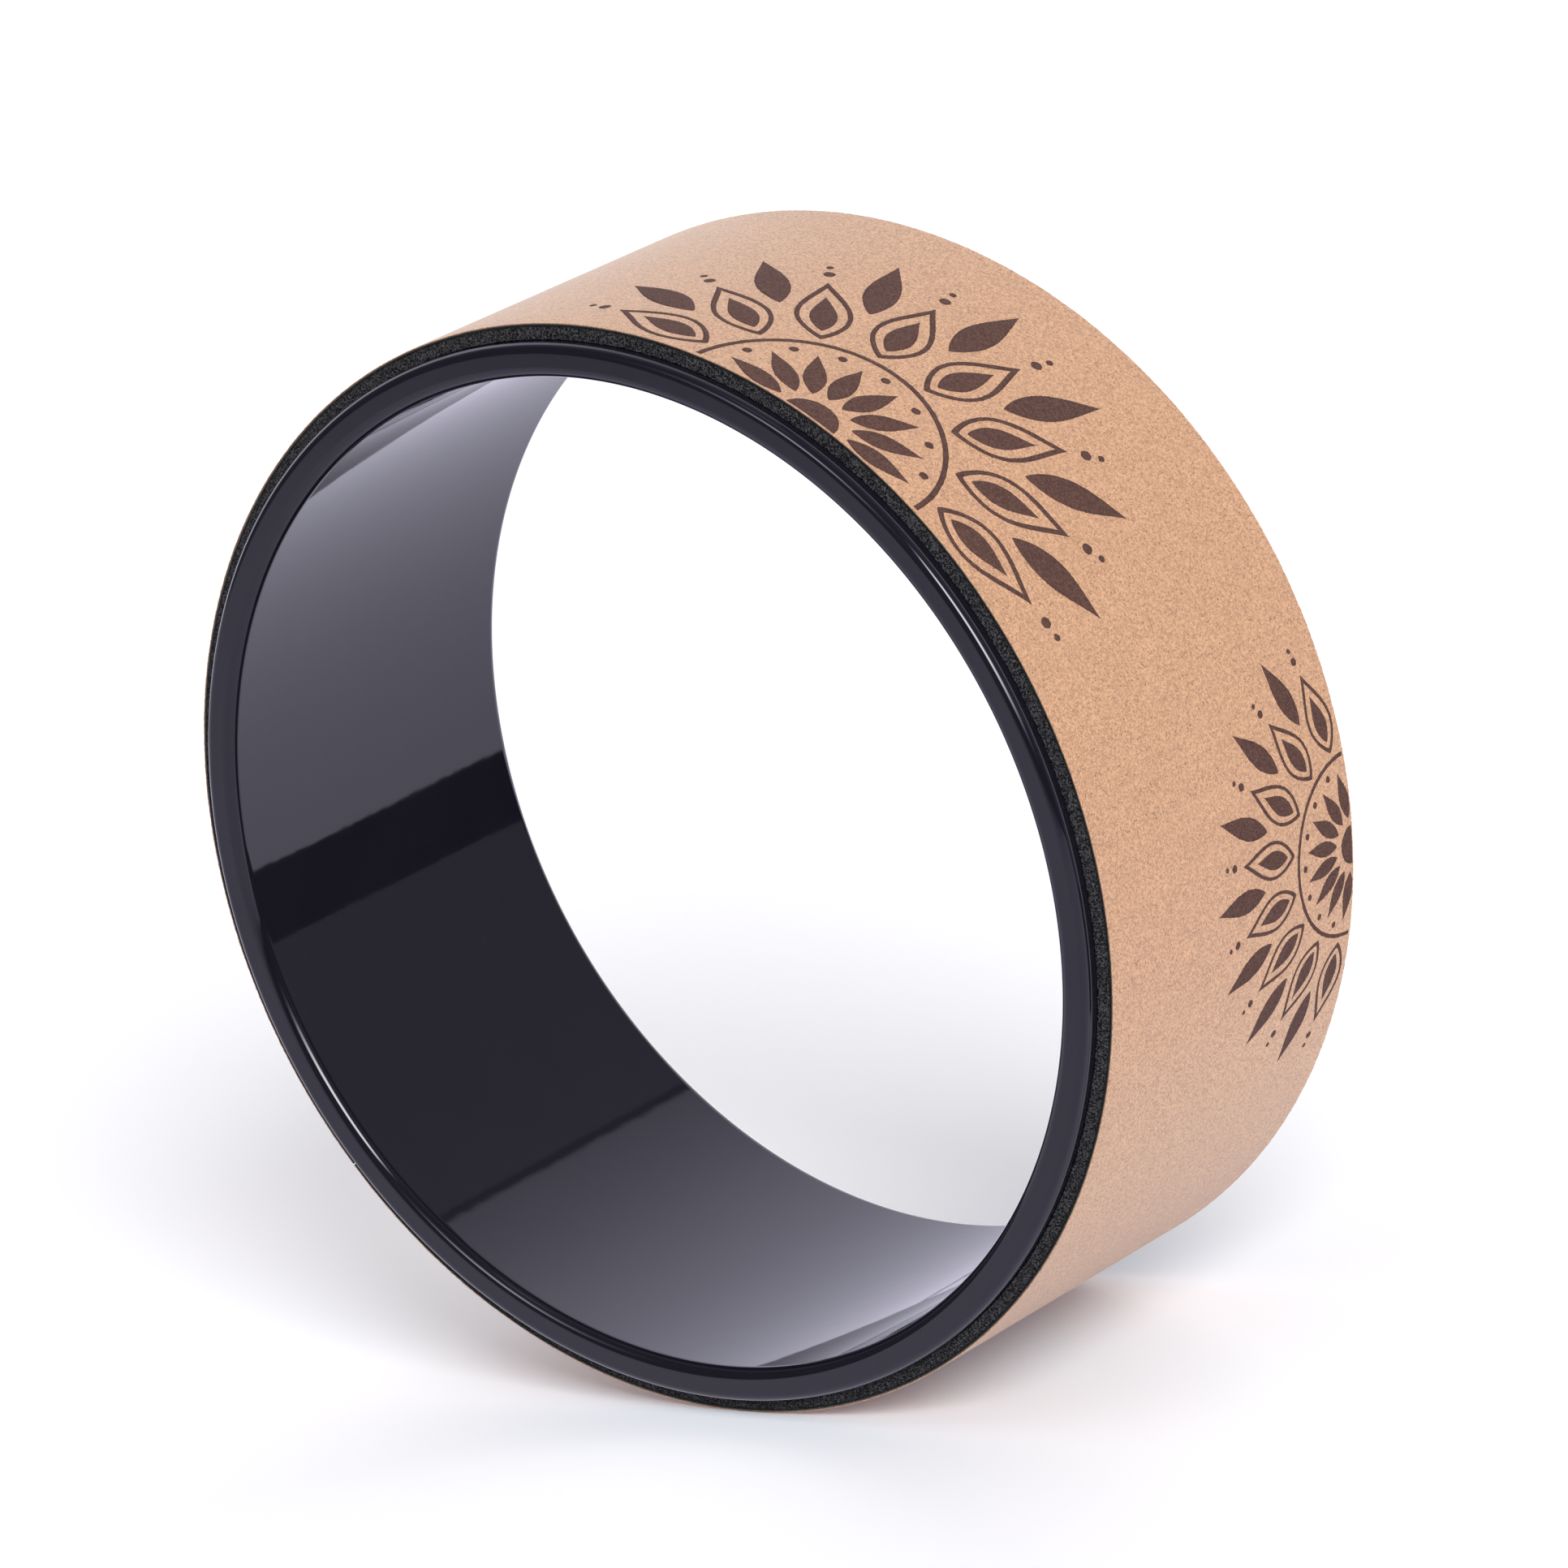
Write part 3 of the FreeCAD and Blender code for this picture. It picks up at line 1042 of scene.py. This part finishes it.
    def hang_surround(self, level):
        """The studio that the polish mirrors: a room's section carried along Y, seen by glossy rays only."""
        section_x, section_z = self.room_section(level)
        depth, size = self.room_depth()
        x = section_x * size
        points = np.stack([x, depth + 0 * x, level + (section_z - level) * size + ROOM_LIFT], axis=-1)
        faces = grid_faces(depth.size, section_x.size).tolist()
        room = make_object("studio_surround", points, faces, self.room_material())
        put_attribute(room, "glow", self.room_glow(section_x, section_z, depth, size, level))
        for ray in ("camera", "diffuse", "transmission", "volume_scatter", "shadow"):
            setattr(room, "visible_" + ray, False)
        return room

    def aim(self, azimuth, elevation):
        """Direction from the wheel at an azimuth, from -Y towards +X, and a height over the horizon."""
        low = math.cos(elevation)
        return Vector((math.sin(azimuth) * low, -math.cos(azimuth) * low, math.sin(elevation)))

    def hang_lamps(self, settings):
        """A key light from the front right, a broad fill light from above and a low back light, for matt
        surfaces only."""
        lamps = []
        for name in ("key", "fill", "back"):
            lamp = bpy.data.objects.new(name + "_light", bpy.data.lights.new(name + "_light", "SUN"))
            lamp.data.energy = getattr(settings, name + "_strength")
            azimuth, elevation, lamp.data.angle = getattr(settings, name + "_aim")
            lamp.rotation_euler = self.aim(azimuth, elevation).to_track_quat("Z", "Y").to_euler()
            lamp.visible_glossy = False
            bpy.context.scene.collection.objects.link(lamp)
            lamps.append(lamp)
        return lamps

    def set_world(self, settings):
        """White to the camera and to the polish; an even dimmer light to matt surfaces."""
        world = bpy.data.worlds.new("Pale Studio")
        world.use_nodes = True
        tree = world.node_tree
        tree.nodes.clear()
        path = add_node(tree, "ShaderNodeLightPath").outputs
        seen = add_math(tree, "MAXIMUM", path["Is Camera Ray"], path["Is Glossy Ray"])
        mix = add_node(tree, "ShaderNodeMixShader")
        tree.links.new(seen, mix.inputs[0])
        for place, strength in ((1, settings.ambient), (2, 1.0)):
            light = add_node(tree, "ShaderNodeBackground", {"Color": WHITE, "Strength": strength})
            tree.links.new(light.outputs[0], mix.inputs[place])
        tree.links.new(mix.outputs[0], add_node(tree, "ShaderNodeOutputWorld").inputs["Surface"])
        bpy.context.scene.world = world

    def set_camera(self, settings):
        """Places the camera by the direction, roll and distance at which the photograph was taken."""
        azimuth, elevation, roll = settings.camera_aim
        back = self.aim(azimuth, elevation)
        level = Vector((math.cos(azimuth), math.sin(azimuth), 0.0))
        right = level * math.cos(roll) + back.cross(level) * math.sin(roll)
        up = back.cross(right)
        place = back * settings.camera_distance - right * settings.camera_pan[0] - up * settings.camera_pan[1]
        camera = bpy.data.objects.new("camera", bpy.data.cameras.new("camera"))
        camera.data.lens = settings.camera_lens
        camera.data.sensor_width = 36.0
        camera.data.clip_end = 60.0
        camera.matrix_world = Matrix((right, up, back)).transposed().to_4x4()
        camera.location = place
        bpy.context.scene.collection.objects.link(camera)
        bpy.context.scene.camera = camera

    def execute(self, context):
        """Sets up the stage under and round the wheel as the CAD frame gives it."""
        settings = context.scene.yoga_wheel.stage
        level = cad_box[0][2]
        self.lay_floor(settings, level)
        self.hang_surround(level)
        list(self.hang_lamps(settings))
        self.set_world(settings)
        self.set_camera(settings)
        context.scene.view_settings.view_transform = "Standard"
        return {"FINISHED"}


class YOGA_WHEEL_PT_panel(bpy.types.Panel):
    """Settings and steps of the wheel"""

    bl_idname = "YOGA_WHEEL_PT_panel"
    bl_label = "Yoga Wheel"
    bl_space_type = "VIEW_3D"
    bl_region_type = "UI"
    bl_category = "Yoga Wheel"

    def draw(self, context):
        """Lists every setting in its group, then the steps in their order."""
        wheel = context.scene.yoga_wheel
        groups = (("Hoop", wheel.hoop), ("Tread", wheel.tread), ("Print", wheel.ink), ("Stage", wheel.stage))
        for label, group in groups:
            box = self.layout.box()
            box.label(text=label)
            for key in group.__annotations__:
                box.prop(group, key)
        for step in STEPS:
            self.layout.operator(step.bl_idname)


STEPS = (
    YOGA_WHEEL_OT_mould_hoop,
    YOGA_WHEEL_OT_cut_foam,
    YOGA_WHEEL_OT_spread_adhesives,
    YOGA_WHEEL_OT_lay_cork,
    YOGA_WHEEL_OT_print_cork,
    YOGA_WHEEL_OT_set_stage,
)
GROUPS = (HoopSettings, TreadSettings, PrintSettings, StageSettings, WheelSettings)
CLASSES = (*GROUPS, *STEPS, YOGA_WHEEL_PT_panel)


def register():
    """Registers the classes and puts the settings on the scene."""
    for entry in CLASSES:
        bpy.utils.register_class(entry)
    bpy.types.Scene.yoga_wheel = PointerProperty(
        name="Yoga Wheel", description="Settings of the wheel", type=WheelSettings
    )


def unregister():
    """Takes the settings and the classes away again."""
    del bpy.types.Scene.yoga_wheel
    for entry in reversed(CLASSES):
        bpy.utils.unregister_class(entry)


def main():
    """Builds every piece and the stage."""
    register()
    for step in STEPS:
        family, action = step.bl_idname.split(".")
        if getattr(getattr(bpy.ops, family), action)() != {"FINISHED"}:
            raise RuntimeError(step.bl_label + " did not finish")


if __name__ == "__main__":
    main()
